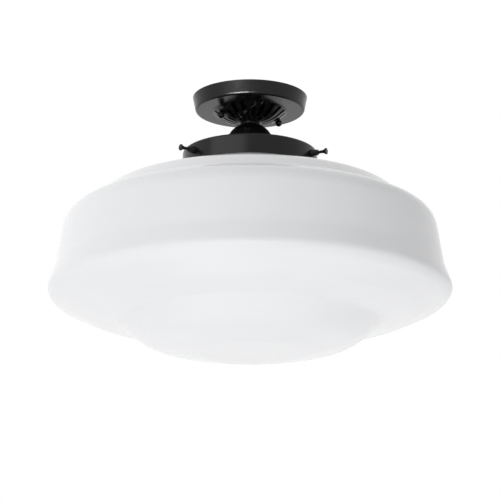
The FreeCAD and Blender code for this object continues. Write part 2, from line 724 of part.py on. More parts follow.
bosses = new_body("screw_bosses")
boss = turn(bosses, "boss", [
    ("%s - cup_t" % CUP_R, "%s + screw_r + screw_gap" % SCREW_LEVEL),
    (BOSS_OUT_R, "%s + screw_r + screw_gap" % SCREW_LEVEL),
    (BOSS_OUT_R, "%s + boss_tip_r" % SCREW_LEVEL),
    (CUP_R, "%s + boss_base_r" % SCREW_LEVEL),
    (CUP_R, "%s + %s" % (SCREW_LEVEL, BOSS_SHANK)),
    ("%s - cup_t" % CUP_R, "%s + %s" % (SCREW_LEVEL, BOSS_SHANK)),
], level=SCREW_LEVEL)
repeat_round(bosses, "all_bosses", [boss], "screw_count", "360")
place(bosses, degrees="screw_deg")

for number in range(int(val("screw_count"))):
    thumb_screw = new_body("thumb_screw_%d" % (number + 1))
    turn(thumb_screw, "thumb_screw_turned_%d" % (number + 1), [
        ("shade_neck_r + tip_gap", SCREW_LEVEL),
        ("shade_neck_r + tip_gap", "%s + screw_r" % SCREW_LEVEL, "screw_r / 4"),
        (HEAD_IN_R, "%s + screw_r" % SCREW_LEVEL, None, "-head_r * 1.6"),
        ("%s - head_r / 3" % HEAD_OUT_R, "%s + head_r" % SCREW_LEVEL),
        (HEAD_OUT_R, "%s + head_r" % SCREW_LEVEL, "head_r / 8"),
        (HEAD_OUT_R, SCREW_LEVEL),
    ], level=SCREW_LEVEL)
    place(thumb_screw, degrees="screw_deg + 360 / screw_count * %d" % number)

CUP_INSIDE = "-%s - cup_t" % CUP_Z
washer("fitter_washer", CUP_INSIDE)
lock_nut("fitter_lock_nut", "%s - washer_t" % CUP_INSIDE)

# ---------------------------------------------------------------- shade

# Blown opal shade: neck, sloping cap, cove, drum with a flared rim, and a stepped bowl below.
# A moulded lip round the neck rests on the thumb screws.
shade = new_body("glass_shade")
turn(shade, "shade_form", [
    ("0", "-%s" % SHADE_TOP_Z),
    ("shade_neck_r", "-%s" % SHADE_TOP_Z),
    ("shade_neck_r", "-%s" % CAP_TOP_Z, "cap_root_r"),
    (CAP_R, "-%s" % CAP_Z, "cap_round_r"),
    (COVE_R, "-%s" % COVE_Z, "cove_round_r"),
    (SHOULDER_R, "-%s" % SHOULDER_Z, "shoulder_round_r"),
    (WAIST_R, "-%s" % WAIST_Z, "waist_round_r"),
    ("rim_r", "-%s" % RIM_Z, "rim_round_r"),
    (CURL_R, "-%s" % CURL_Z, "curl_round_r"),
    (SWEEP_R, "-%s" % SWEEP_Z, "sweep_round_r"),
    (STEP_R, "-%s" % STEP_Z, "step_round_r"),
    (BOWL_R, "-%s" % BOWL_Z, "bowl_round_r"),
    (BASE_R, "-%s" % BASE_Z, "base_round_r"),
    ("0", "-%s" % BASE_Z),
])
hollow(shade, "shade_wall", "glass_t", True)
turn(shade, "shade_lip", [
    ("shade_neck_r - glass_t / 2", "-%s" % SHADE_TOP_Z),
    (LIP_R, "-%s" % SHADE_TOP_Z, "lip_round_r"),
    (LIP_R, "-%s" % LIP_LOW_Z, "lip_round_r"),
    ("shade_neck_r - glass_t / 2", "-%s" % LIP_LOW_Z),
])

# ---------------------------------------------------------------- socket

socket_cap = new_body("socket_cap")
turn(socket_cap, "socket_cap_turned", [
    ("nipple_r", "-%s" % COLLAR_Z),
    (COLLAR_R, "-%s" % COLLAR_Z),
    (COLLAR_R, "-%s" % SOCKET_CAP_Z),
    ("socket_cap_r", "-%s" % SOCKET_CAP_Z, "cap_t * 3"),
    ("socket_cap_r", "-%s - socket_cap_h" % SOCKET_CAP_Z),
    ("socket_cap_r - cap_t", "-%s - socket_cap_h" % SOCKET_CAP_Z),
    ("socket_cap_r - cap_t", "-%s - cap_t" % SOCKET_CAP_Z, "cap_t * 2"),
    ("nipple_r", "-%s - cap_t" % SOCKET_CAP_Z),
])

# Porcelain: a block with the two terminals on top and the lamp chamber below.
porcelain = new_body("socket_porcelain")
turn(porcelain, "porcelain_form", [
    ("contact_stem_r", "-%s" % PORCELAIN_Z),
    ("socket_cap_r - cap_t", "-%s" % PORCELAIN_Z),
    ("socket_cap_r - cap_t", "-%s - socket_cap_h" % SOCKET_CAP_Z),
    (SKIRT_R, "-%s - socket_cap_h" % SOCKET_CAP_Z),
    (SKIRT_R, "-%s" % PORCELAIN_END_Z, "%s / 10" % SKIRT_R),
    ("shell_r", "-%s" % PORCELAIN_END_Z),
    ("shell_r", "-%s" % FLOOR_Z),
    ("contact_stem_r", "-%s" % FLOOR_Z),
])
LEG_OUT = "leg_y + strap_t"
pierce(porcelain, "leg_hole", [block("strap_w", "leg_y", LEG_OUT)])
TERMINALS = [("0", TERMINAL_Y, "terminal_r"), ("0", "-%s" % TERMINAL_Y, "terminal_r")]
TERMINAL_RUN = "porcelain_floor_t * 0.8"
pierce(porcelain, "terminal_threads", TERMINALS, "-%s" % PORCELAIN_Z, TERMINAL_RUN)

# Screw shell with a flange at the chamber's floor, a leg up through the porcelain and a strap
# to its terminal. The centre contact is riveted through the porcelain to the other strap.
STRAP_TOP = "-%s + strap_t" % PORCELAIN_Z
STRAP_END = "%s + strap_w + strap_t" % TERMINAL_Y
screw_shell = new_body("screw_shell")
turn(screw_shell, "screw_shell_turned", [
    ("contact_r + shell_t * 4", "-%s" % FLOOR_Z),
    ("shell_r", "-%s" % FLOOR_Z),
    ("shell_r", "-%s" % SHELL_END_Z),
    ("shell_r - shell_t", "-%s" % SHELL_END_Z),
    ("shell_r - shell_t", "-%s - shell_t" % FLOOR_Z),
    ("contact_r + shell_t * 4", "-%s - shell_t" % FLOOR_Z),
])
pad(
    screw_shell, "shell_leg", [block("strap_w", "leg_y", LEG_OUT)],
    STRAP_TOP, "porcelain_floor_t + strap_t + shell_t / 2",
)
pad(
    screw_shell, "shell_strap", [block("strap_w", "leg_y", STRAP_END), TERMINALS[0]],
    STRAP_TOP, "strap_t",
)

contact = new_body("centre_contact")
turn(contact, "centre_contact_turned", [
    ("0", "-%s" % PORCELAIN_Z),
    ("contact_stem_r", "-%s" % PORCELAIN_Z),
    ("contact_stem_r", "-%s" % FLOOR_Z),
    ("contact_r", "-%s" % FLOOR_Z),
    ("contact_r", "-%s - strap_t" % FLOOR_Z),
    ("0", "-%s - strap_t" % FLOOR_Z),
])
pad(
    contact, "contact_strap", [block("strap_w", "-(%s)" % STRAP_END, "strap_w"), TERMINALS[1]],
    STRAP_TOP, "strap_t",
)

HEAD_TOP = "%s + terminal_head_h" % STRAP_TOP
terminal_screws = new_body("terminal_screws")
terminal_screw = turn(terminal_screws, "terminal_screw", [
    (TERMINAL_Y, "-%s - %s * 0.95" % (PORCELAIN_Z, TERMINAL_RUN)),
    ("%s + terminal_r" % TERMINAL_Y, "-%s - %s * 0.95" % (PORCELAIN_Z, TERMINAL_RUN)),
    ("%s + terminal_r" % TERMINAL_Y, STRAP_TOP),
    ("%s + terminal_head_r" % TERMINAL_Y, STRAP_TOP),
    ("%s + terminal_head_r" % TERMINAL_Y, HEAD_TOP, "terminal_head_h / 4"),
    (TERMINAL_Y, HEAD_TOP),
], role="YZ_Plane", upright=TERMINAL_Y)
SLOT_NEAR = "%s - terminal_head_r / 8" % TERMINAL_Y
SLOT_FAR = "%s + terminal_head_r / 8" % TERMINAL_Y
terminal_slot = pierce(
    terminal_screws, "terminal_slot", [block("terminal_head_r * 1.2", SLOT_NEAR, SLOT_FAR)],
    HEAD_TOP, "terminal_head_h / 3",
)
repeat_round(terminal_screws, "both_terminal_screws", [terminal_screw, terminal_slot], "2", "180")

# ---------------------------------------------------------------- wiring

# Two insulated leads: each runs from its connector over the dome, down the central tube and
# along its strap to the terminal screw.
LEAD_LOW = "-%s + strap_t + lead_r" % PORCELAIN_Z


def lead(label, degrees):
    body = new_body(label)
    pipe(body, label + "_run", [
        ("nut_in_y + nut_depth", "-%s" % LEAD_TOP_Z),
        ("lead_y", "-%s" % LEAD_TOP_Z, "lead_bend_r"),
        ("lead_y", LEAD_LOW, "lead_bend_r"),
        ("%s - terminal_head_r" % TERMINAL_Y, LEAD_LOW),
    ], "XZ_Plane", "-(nut_in_y + nut_depth)", "lead_r")
    place(body, degrees=degrees)


lead("lead_neutral", "0")
lead("lead_live", "180")


def connector(body, name, mouth, level):
    """Tapered wire connector along +Y with a blind hole for its lead."""
    return turn(body, name, [
        ("%s + nut_depth" % mouth, level),
        ("%s + nut_depth" % mouth, "%s + lead_r" % level),
        (mouth, "%s + lead_r" % level),
        (mouth, "%s + nut_mouth_r" % level),
        ("%s + nut_len" % mouth, "%s + nut_end_r" % level, "nut_end_r / 3"),
        ("%s + nut_len" % mouth, level),
    ], role="YZ_Plane", level=level)


connectors = new_body("wire_connectors")
one_connector = connector(connectors, "wire_connector", "nut_in_y", "-%s" % LEAD_TOP_Z)
repeat_round(connectors, "both_wire_connectors", [one_connector], "2", "180")

# The ground lead starts at its screw's head, dips clear of the plate and ends in a connector.
GROUND_UP = "-(plate_t + lead_r)"
GROUND_DOWN = "-(plate_t + lead_r + nut_mouth_r + ground_gap)"
GROUND_MOUTH = "(ground_head_r + nut_depth + lead_bend_r)"
ground_lead = new_body("ground_lead")
pipe(ground_lead, "ground_lead_run", [
    ("%s + nut_depth" % GROUND_MOUTH, GROUND_DOWN),
    ("ground_head_r + nut_depth / 2", GROUND_DOWN, "lead_bend_r * 0.9"),
    ("ground_head_r + nut_depth / 2", GROUND_UP, "lead_bend_r * 0.9"),
    ("ground_head_r", GROUND_UP),
], "XZ_Plane", "-(%s + nut_depth)" % GROUND_MOUTH, "lead_r")
place(ground_lead, x="-%s" % GROUND_X)

ground_connector = new_body("ground_connector")
connector(ground_connector, "ground_connector_turned", GROUND_MOUTH, GROUND_DOWN)
place(ground_connector, x="-%s" % GROUND_X)

# ---------------------------------------------------------------- lamp

LAMP_CAP_R = "(shell_r - shell_t - lamp_gap)"
LAMP_TIP = "-(%s + strap_t)" % FLOOR_Z
BUTTON_LOW = "%s - button_h" % LAMP_TIP
lamp_cap = new_body("lamp_cap")
turn(lamp_cap, "lamp_cap_turned", [
    ("button_r * 1.5", "-%s" % LAMP_CAP_Z),
    (LAMP_CAP_R, "-%s" % LAMP_CAP_Z, "lamp_cap_t * 3"),
    (LAMP_CAP_R, "-%s - lamp_cap_h" % LAMP_CAP_Z),
    ("%s - lamp_cap_t" % LAMP_CAP_R, "-%s - lamp_cap_h" % LAMP_CAP_Z),
    ("%s - lamp_cap_t" % LAMP_CAP_R, "-%s - lamp_cap_t" % LAMP_CAP_Z, "lamp_cap_t * 2"),
    ("button_r * 1.5", "-%s - lamp_cap_t" % LAMP_CAP_Z),
])

button = new_body("lamp_contact")
turn(button, "lamp_contact_turned", [
    ("0", LAMP_TIP),
    ("button_r", LAMP_TIP, "button_h / 2"),
    ("button_r", BUTTON_LOW),
    ("0", BUTTON_LOW),
])

insulator = new_body("lamp_insulator")
turn(insulator, "lamp_insulator_turned", [
    ("0", BUTTON_LOW),
    ("button_r * 1.1", BUTTON_LOW),
    ("button_r * 1.5", "-%s" % LAMP_CAP_Z),
    ("button_r * 1.5", "-%s - lamp_cap_t * 4" % LAMP_CAP_Z),
    ("0", "-%s - lamp_cap_t * 4" % LAMP_CAP_Z),
])

BULB_NECK_R = "(%s - lamp_cap_t)" % LAMP_CAP_R
BULB_TOP = "-(%s + lamp_cap_h * 0.75)" % LAMP_CAP_Z
bulb = new_body("lamp_bulb")
turn(bulb, "bulb_form", [
    ("0", BULB_TOP),
    (BULB_NECK_R, BULB_TOP),
    (BULB_NECK_R, "-%s" % LAMP_NECK_Z, "lamp_r * 0.8"),
    ("lamp_r", "-%s" % LAMP_WIDE_Z, "lamp_r * 0.8"),
    ("lamp_r", "-%s" % LAMP_END_Z, "lamp_r * 0.98"),
    ("0", "-%s" % LAMP_END_Z),
])
hollow(bulb, "bulb_wall", "bulb_t", True)

STEM_SEAT = "(%s - bulb_t)" % BULB_NECK_R
stem = new_body("lamp_stem")
turn(stem, "lamp_stem_turned", [
    ("0", BULB_TOP),
    (STEM_SEAT, BULB_TOP),
    (STEM_SEAT, "%s - bulb_t * 2" % BULB_TOP),
    ("stem_r", "%s - %s" % (BULB_TOP, STEM_SEAT), "stem_r"),
    ("stem_r", "-%s" % STEM_Z, "stem_r / 4"),
    ("0", "-%s" % STEM_Z),
])

filament = new_body("lamp_filament")
pipe(filament, "filament_run", [
    ("-stem_r / 2", "-%s" % STEM_Z),
    ("-stem_r / 2", "-%s - stem_r" % STEM_Z, "wire_r * 4"),
    ("-filament_x", "-%s" % FILAMENT_Z, "wire_r * 4"),
    ("filament_x", "-%s" % FILAMENT_Z, "wire_r * 4"),
    ("stem_r / 2", "-%s - stem_r" % STEM_Z, "wire_r * 4"),
    ("stem_r / 2", "-%s" % STEM_Z),
], "XY_Plane", "-%s" % STEM_Z, "wire_r")

# ---------------------------------------------------------------- check and write

GROUPS = {
    "canopy_studs": "2",
    "stud_lock_nuts": "2",
    "screw_bosses": "screw_count",
    "terminal_screws": "2",
    "wire_connectors": "2",
}
doc.recompute()
for item in doc.Objects:
    if "Invalid" in item.State or "Error" in item.State:
        raise RuntimeError("%s did not build" % item.Label)
os.makedirs("parts", exist_ok=True)
for body in doc.Objects:
    if body.TypeId != "PartDesign::Body":
        continue
    shape = body.Shape
    if shape.isNull() or not shape.isValid():
        raise RuntimeError("%s is not a valid solid" % body.Label)
    if len(shape.Solids) != round(val(GROUPS.get(body.Label, "1"))):
        raise RuntimeError("%s has %d solids" % (body.Label, len(shape.Solids)))
    shape.exportStep("parts/%s.step" % body.Label)
    box = shape.BoundBox
    print("%-18s %8.1f mm3  z %.1f to %.1f" % (body.Label, shape.Volume, box.ZMin, box.ZMax))
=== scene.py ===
import bpy
import bmesh
import json
import math
from mathutils import Matrix, Vector


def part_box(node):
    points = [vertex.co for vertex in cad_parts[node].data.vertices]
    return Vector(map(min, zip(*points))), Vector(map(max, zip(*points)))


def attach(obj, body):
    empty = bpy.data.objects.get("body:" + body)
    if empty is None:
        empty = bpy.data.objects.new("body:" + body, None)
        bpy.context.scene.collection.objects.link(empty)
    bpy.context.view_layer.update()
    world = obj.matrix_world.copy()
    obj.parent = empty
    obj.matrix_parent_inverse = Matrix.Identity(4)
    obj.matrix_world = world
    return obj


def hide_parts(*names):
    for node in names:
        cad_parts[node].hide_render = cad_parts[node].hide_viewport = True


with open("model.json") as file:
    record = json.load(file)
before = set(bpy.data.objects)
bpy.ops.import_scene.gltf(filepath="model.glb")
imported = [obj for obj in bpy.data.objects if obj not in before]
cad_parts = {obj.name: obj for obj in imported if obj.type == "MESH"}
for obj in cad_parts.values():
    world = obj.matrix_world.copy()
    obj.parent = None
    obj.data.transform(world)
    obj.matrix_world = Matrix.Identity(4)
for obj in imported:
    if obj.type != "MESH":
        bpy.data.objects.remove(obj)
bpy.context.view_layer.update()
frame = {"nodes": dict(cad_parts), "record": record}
nodes = frame["nodes"]
scene = bpy.context.scene

# The row frame: the origin is at the ceiling on the fixture's axis, +Z up, metres.
MM = 0.001


# ------------------------------------------------------------------ materials

class Surface:
    """A material with one principled shader, and short calls for the nodes that feed it."""

    def __init__(self, name, **settings):
        self.material = bpy.data.materials.new(name)
        self.material.use_nodes = True
        self.tree = self.material.node_tree
        self.shader = self.tree.nodes["Principled BSDF"]
        for socket, value in settings.items():
            self.shader.inputs[socket.replace("_", " ")].default_value = value

    def node(self, kind, **inputs):
        made = self.tree.nodes.new(kind)
        for socket, value in inputs.items():
            made.inputs[socket.replace("_", " ")].default_value = value
        return made

    def link(self, source, target):
        self.tree.links.new(source, target)

    def noise(self, scale, detail=3.0, roughness=0.5, stretch=None):
        """Noise in the object's own coordinates, in features per metre."""
        coordinates = self.node("ShaderNodeTexCoord")
        made = self.node("ShaderNodeTexNoise", Scale=scale, Detail=detail, Roughness=roughness)
        source = coordinates.outputs["Object"]
        if stretch is not None:
            mapping = self.node("ShaderNodeMapping", Scale=stretch)
            self.link(source, mapping.inputs["Vector"])
            source = mapping.outputs["Vector"]
        self.link(source, made.inputs["Vector"])
        return made.outputs["Fac"]

    def ramp(self, factor, low, high, start=0.3, end=0.7):
        made = self.tree.nodes.new("ShaderNodeValToRGB")
        made.color_ramp.elements[0].position = start
        made.color_ramp.elements[1].position = end
        made.color_ramp.elements[0].color = low
        made.color_ramp.elements[1].color = high
        self.link(factor, made.inputs["Fac"])
        return made.outputs["Color"]

    def spread(self, factor, low, high):
        """Maps 0 to 1 onto low to high."""
        made = self.node("ShaderNodeMapRange", To_Min=low, To_Max=high)
        self.link(factor, made.inputs["Value"])
        return made.outputs["Result"]

    def bump(self, height, strength, distance):
        made = self.node("ShaderNodeBump", Strength=strength, Distance=distance)
        self.link(height, made.inputs["Height"])
        self.link(made.outputs["Normal"], self.shader.inputs["Normal"])

    def colour(self, source):
        self.link(source, self.shader.inputs["Base Color"])

    def rough(self, source):
        self.link(source, self.shader.inputs["Roughness"])


def grey(value):
    return (value, value, value, 1.0)


def opal_glass():
    """Blown opal glass: milky, glossy, with slow waviness and faint clouding."""
    s = Surface("opal_glass", Roughness=0.16, IOR=1.5)
    clouds = s.noise(9.0, detail=2.0)
    s.colour(s.ramp(clouds, (0.875, 0.88, 0.895, 1), (0.9, 0.905, 0.92, 1)))
    s.rough(s.spread(s.noise(40.0, detail=4.0), 0.13, 0.2))
    s.bump(s.noise(14.0, detail=1.0), 0.08, 0.002)
    return s.material


def black_paint():
    """Satin black powder coat: fine orange peel and slightly uneven gloss."""
    s = Surface("black_paint", Roughness=0.24, IOR=1.5, Specular_IOR_Level=0.25)
    s.colour(s.ramp(s.noise(60.0), (0.004, 0.004, 0.0045, 1), (0.006, 0.006, 0.0068, 1)))
    s.rough(s.spread(s.noise(120.0, detail=4.0), 0.2, 0.28))
    s.bump(s.noise(1400.0, detail=2.0), 0.12, 0.0002)
    return s.material


def plated(name, low, high, roughness, streaks=(1.0, 1.0, 12.0)):
    """Plated or bright metal with fine drawn streaks and small stains."""
    s = Surface(name, Metallic=1.0, Roughness=roughness)
    s.colour(s.ramp(s.noise(90.0, detail=5.0), low, high))
    s.rough(s.spread(s.noise(300.0, stretch=streaks), roughness * 0.8, roughness * 1.3))
    s.bump(s.noise(700.0, stretch=streaks), 0.1, 0.0002)
    return s.material


def plastic(name, low, high, roughness):
    """Moulded plastic or wire insulation."""
    s = Surface(name, Roughness=roughness, IOR=1.48)
    s.colour(s.ramp(s.noise(110.0), low, high))
    s.rough(s.spread(s.noise(260.0), roughness * 0.85, roughness * 1.15))
    s.bump(s.noise(900.0), 0.08, 0.0002)
    return s.material


def glazed_porcelain():
    s = Surface(
        "glazed_porcelain", Roughness=0.12, IOR=1.52, Coat_Weight=0.5, Coat_Roughness=0.05,
    )
    s.colour(s.ramp(s.noise(70.0), (0.84, 0.82, 0.78, 1), (0.9, 0.89, 0.86, 1)))
    s.bump(s.noise(180.0), 0.1, 0.0004)
    return s.material


def frosted_glass():
    s = Surface("frosted_glass", Roughness=0.45, IOR=1.5, Transmission_Weight=0.5)
    s.colour(s.ramp(s.noise(30.0), (0.88, 0.88, 0.87, 1), (0.93, 0.93, 0.92, 1)))
    s.rough(s.spread(s.noise(500.0), 0.4, 0.5))
    return s.material


def clear_glass():
    s = Surface("clear_glass", Roughness=0.03, IOR=1.5, Transmission_Weight=1.0)
    s.colour(s.ramp(s.noise(30.0), (0.9, 0.93, 0.93, 1), (0.96, 0.98, 0.98, 1)))
    return s.material


OPAL = opal_glass()
PAINT = black_paint()
OXIDE = plated("black_oxide", (0.02, 0.02, 0.022, 1), (0.045, 0.045, 0.05, 1), 0.38)
# One material for each slot of the record.
MATERIALS = {
    "black_metal": PAINT,
    "opal_glass": OPAL,
    "zinc_steel": plated("zinc_steel", (0.5, 0.5, 0.48, 1), (0.66, 0.66, 0.65, 1), 0.32),
    "black_oxide_steel": OXIDE,
    "socket_cap_steel": plated("nickel", (0.5, 0.49, 0.47, 1), (0.64, 0.63, 0.6, 1), 0.22),
    "ground_green": plastic("green_lacquer", (0.02, 0.2, 0.07, 1), (0.04, 0.28, 0.1, 1), 0.3),
    "porcelain": glazed_porcelain(),
    "brass": plated("brass", (0.62, 0.45, 0.17, 1), (0.8, 0.6, 0.27, 1), 0.25),
    "grey_insulation": plastic("grey_insulation", grey(0.17), grey(0.24), 0.5),
    "black_insulation": plastic("black_insulation", grey(0.015), grey(0.03), 0.5),
    "green_insulation": plastic(
        "green_insulation", (0.03, 0.24, 0.09, 1), (0.06, 0.33, 0.13, 1), 0.5,
    ),
    "connector_grey": plastic(
        "connector_grey", (0.05, 0.05, 0.053, 1), (0.08, 0.08, 0.083, 1), 0.35,
    ),
    "lamp_glass": frosted_glass(),
    "lamp_cap_metal": plated("lamp_cap", grey(0.66), grey(0.78), 0.25),
    "lamp_solder": plated("solder", (0.42, 0.42, 0.41, 1), (0.58, 0.58, 0.56, 1), 0.45),
    "lamp_black_glass": plastic(
        "black_glass", (0.01, 0.01, 0.012, 1), (0.02, 0.02, 0.022, 1), 0.1,
    ),
    "lamp_clear_glass": clear_glass(),
    "lamp_wire": plated("lamp_wire", (0.3, 0.3, 0.31, 1), (0.42, 0.42, 0.43, 1), 0.4),
}

for part in frame["record"]["subparts"]:
    mesh = nodes[part["node"]].data
    mesh.materials.clear()
    mesh.materials.append(MATERIALS[part["material_slot"]])


# ------------------------------------------------------------------ turned forms

# A point this near to the axis, in mm, lies on it. Two surfaces that meet at more than
# SHARP_DEG have a sharp edge between them.
ON_AXIS = 1e-6
SHARP_DEG = 32


def rounded(corners, step_deg):
    """Points along an open outline; a corner is (radius, height) or (radius, height, rounding)."""
    points = [Vector(corners[0][:2])]
    for before, corner, after in zip(corners, corners[1:], corners[2:]):
        at = Vector(corner[:2])
        if len(corner) < 3:
            points.append(at)
            continue
        rounding = corner[2]
        back = (Vector(before[:2]) - at).normalized()
        ahead = (Vector(after[:2]) - at).normalized()
        half = back.angle(ahead) / 2
        centre = at + (back + ahead).normalized() * (rounding / math.sin(half))
        start = at + back * (rounding / math.tan(half)) - centre
        end = at + ahead * (rounding / math.tan(half)) - centre
        turn = start.angle_signed(end)
        count = max(2, math.ceil(abs(math.degrees(turn)) / step_deg))
        for i in range(count + 1):
            angle = -turn * i / count
            spin = Vector((
                start.x * math.cos(angle) - start.y * math.sin(angle),
                start.x * math.sin(angle) + start.y * math.cos(angle),
            ))
            points.append(centre + spin)
    points.append(Vector(corners[-1][:2]))
    return points


def split_runs(points, longest):
    """Adds points on long straight runs, so that shading stays even."""
    made = [points[0]]
    for start, end in zip(points, points[1:]):
        pieces = max(1, math.ceil((end - start).length / longest))
        made += [start.lerp(end, i / pieces) for i in range(1, pieces + 1)]
    return made


def inset(points, wall):
    """The outline moved sideways by the wall, to the right of its way."""
    made = []
    for i, point in enumerate(points):
        before = points[max(i - 1, 0)]
        after = points[min(i + 1, len(points) - 1)]
        way = (after - before).normalized()
        made.append(point + Vector((way.y, -way.x)) * wall)
    return made


def smooth(radius, height, angle):
    """Relief of a surface that lies on its outline."""
    return 0.0


def lathe(name, outline, material, around, places=(Matrix(),), relief=smooth):
    """Turns a closed outline of (radius, height) points, in mm, about Z, and sets it at each place.

    relief(radius, height, angle) is what the surface lies below the outline there.
    """
    bm = bmesh.new()
    angles = [2 * math.pi * k / around for k in range(around)]
    for place in places:
        rings = []
        for radius, height in outline:
            if radius < ON_AXIS:
                rings.append([bm.verts.new(place @ Vector((0, 0, height * MM)))] * around)
                continue
            ring = []
            for angle in angles:
                r = radius - relief(radius, height, angle)
                point = Vector((r * math.cos(angle), r * math.sin(angle), height)) * MM
                ring.append(bm.verts.new(place @ point))
            rings.append(ring)
        for low, high in zip(rings, rings[1:] + rings[:1]):
            for k in range(around):
                # On the axis two corners are one vertex, and the face is a triangle or nothing.
                corners = list(dict.fromkeys([low[k], low[k - 1], high[k - 1], high[k]]))
                if len(corners) > 2:
                    bm.faces.new(corners)
    bmesh.ops.recalc_face_normals(bm, faces=bm.faces)
    mesh = bpy.data.meshes.new(name)
    bm.to_mesh(mesh)
    bm.free()
    mesh.materials.append(material)
    made = bpy.data.objects.new(name, mesh)
    scene.collection.objects.link(made)
    mesh.shade_smooth()
    mesh.set_sharp_from_angle(angle=math.radians(SHARP_DEG))
    return made


def dress(piece, body, slot, *replaced):
    """Sets a turned piece on its body, in place of the CAD nodes that it stands for; its slot is
    not used.
    """
    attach(piece, body)
    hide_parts(*replaced)


# ------------------------------------------------------------------ shade

# The glass in mm, as the solid has it: its wall, its neck with a lip round the top, and the
# outer face below the neck as (radius, height, rounding).
WALL = 3.5
NECK_R, TOP = 72.0, -71.0
LIP_R, LIP_LOW, LIP_ROUND = 74.8, -75.2, 1.2
FORM = [
    (NECK_R, -98.5, 4.0),
    (164.2, -118.5, 29.0),
    (182.7, -135.6, 15.0),
    (210.8, -146.4, 27.0),
    (220.3, -207.4, 37.0),
    (229.7, -232.9, 9.5),
    (222.3, -242.4, 21.6),
    (188.7, -257.8, 70.0),
    (148.6, -267.5, 10.0),
    (119.1, -290.4, 65.0),
    (60.0, -303.0, 60.0),
    (0.0, -303.0),
]
# How fine its mesh is: the longest turn of a curve and the longest run in one step of the
# outline, and the steps round the axis.
FORM_STEP_DEG, FORM_RUN = 4.0, 6.0
SHADE_AROUND = 240

lip = [
    (NECK_R - WALL, TOP), (LIP_R, TOP, LIP_ROUND), (LIP_R, LIP_LOW, LIP_ROUND), (NECK_R, LIP_LOW),
]
outer = split_runs(rounded(lip + FORM, FORM_STEP_DEG), FORM_RUN)
without_lip = split_runs(rounded([(NECK_R, TOP)] + FORM, FORM_STEP_DEG), FORM_RUN)
inner = inset(without_lip, WALL)
inner[-1] = Vector((0.0, without_lip[-1].y + WALL))
# Turned by half a step, so that no corner of the mesh reaches out of the solid's box.
half_step = Matrix.Rotation(math.pi / SHADE_AROUND, 4, "Z")
shade = lathe(
    "shade_glass", outer + inner[::-1][:-1], OPAL, around=SHADE_AROUND, places=[half_step],
)
dress(shade, "shade", "opal_glass", "glass_shade")


# ------------------------------------------------------------------ threaded pieces

# A cut thread's depth, and the flats on its crest and in its root, as shares of the pitch.
THREAD_DEPTH, THREAD_FLAT = 0.6, 0.12
# How many rows of faces a turn of a cut thread has.
THREAD_ROWS = 8
# A length that tells two faces of a piece apart, in mm.
NEARLY = 0.01


def lead_in(height, low, high, pitch):
    """How much of a thread is there: it starts and ends over one turn."""
    return min(1.0, (height - low) / pitch, (high - height) / pitch)


def threaded(radius, low, high, pitch):
    """Relief of a cut thread on a stem of this radius, between two heights."""

    def relief(r, height, angle):
        if r < radius - NEARLY or not low < height < high:
            return 0.0
        turn = (height / pitch - angle / (2 * math.pi)) % 1.0
        flank = (abs(2 * turn - 1) - THREAD_FLAT) / (1 - 2 * THREAD_FLAT)
        depth = THREAD_DEPTH * pitch * lead_in(height, low, high, pitch)
        return depth * min(max(flank, 0.0), 1.0)
    return relief


def heights(node):
    """The lowest and the highest point of a CAD node, in mm."""
    return [corner.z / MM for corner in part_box(node)]


def reach_along(node, bearing_deg):
    """How near to the Z axis, and how far from it, a CAD node reaches along a bearing, in mm."""
    way = Vector((math.cos(math.radians(bearing_deg)), math.sin(math.radians(bearing_deg)), 0))
    reach = [way.dot(vertex.co) / MM for vertex in nodes[node].data.vertices]
    return min(reach), max(reach)


# Thumb screws: a threaded shank that flares into a round head with a straight-knurled rim.
SCREW_R, SCREW_PITCH, SCREW_CHAMFER = 1.8, 0.79, 0.45
HEAD_R, HEAD_LEN, HEAD_RIM, HEAD_CHAMFER = 3.7, 5.5, 1.2, 0.4
FLARE_STEPS = 8
# The knurls round a head's rim, their depth, and the faces across each one.
KNURLS, KNURL_DEPTH, KNURL_FACES = 32, 0.16, 4
SCREW_BEARINGS = (71, 191, 311)


def thumb_screw(number, bearing_deg):
    """One thumb screw, with its head outward, at a bearing round the cup."""
    node = "thumb_screw_%d" % number
    tip, end = reach_along(node, bearing_deg)
    flare, rim = end - HEAD_LEN, end - HEAD_RIM
    bend = []
    for share in (i / FLARE_STEPS for i in range(1, FLARE_STEPS)):
        widening = 1 - math.cos(share * math.pi / 2)
        bend.append((SCREW_R + (HEAD_R - SCREW_R) * widening, flare + share * (rim - flare)))
    outline = [Vector(point) for point in (
        (0, tip), (SCREW_R - SCREW_CHAMFER, tip), (SCREW_R, tip + SCREW_CHAMFER), (SCREW_R, flare),
        *bend,
        (HEAD_R, rim), (HEAD_R, end - HEAD_CHAMFER), (HEAD_R - HEAD_CHAMFER, end), (0, end),
    )]
    shank_relief = threaded(SCREW_R, tip, flare - SCREW_PITCH, SCREW_PITCH)

    def relief(r, height, angle):
        if height > rim - NEARLY and r > HEAD_R - HEAD_CHAMFER - NEARLY:
            return KNURL_DEPTH * (0.5 + 0.5 * math.cos(KNURLS * angle))
        return shank_relief(r, height, angle)

    place = (
        Matrix.Translation((0, 0, sum(heights(node)) / 2 * MM))
        @ Matrix.Rotation(math.radians(bearing_deg), 4, "Z")
        @ Matrix.Rotation(math.radians(90), 4, "Y")
    )
    piece = lathe(
        node + "_knurled", split_runs(outline, SCREW_PITCH / THREAD_ROWS), PAINT,
        around=KNURLS * KNURL_FACES, places=[place], relief=relief,
    )
    dress(piece, "screw_%d" % number, "black_metal", node)


for number, bearing in enumerate(SCREW_BEARINGS, 1):
    thumb_screw(number, bearing)

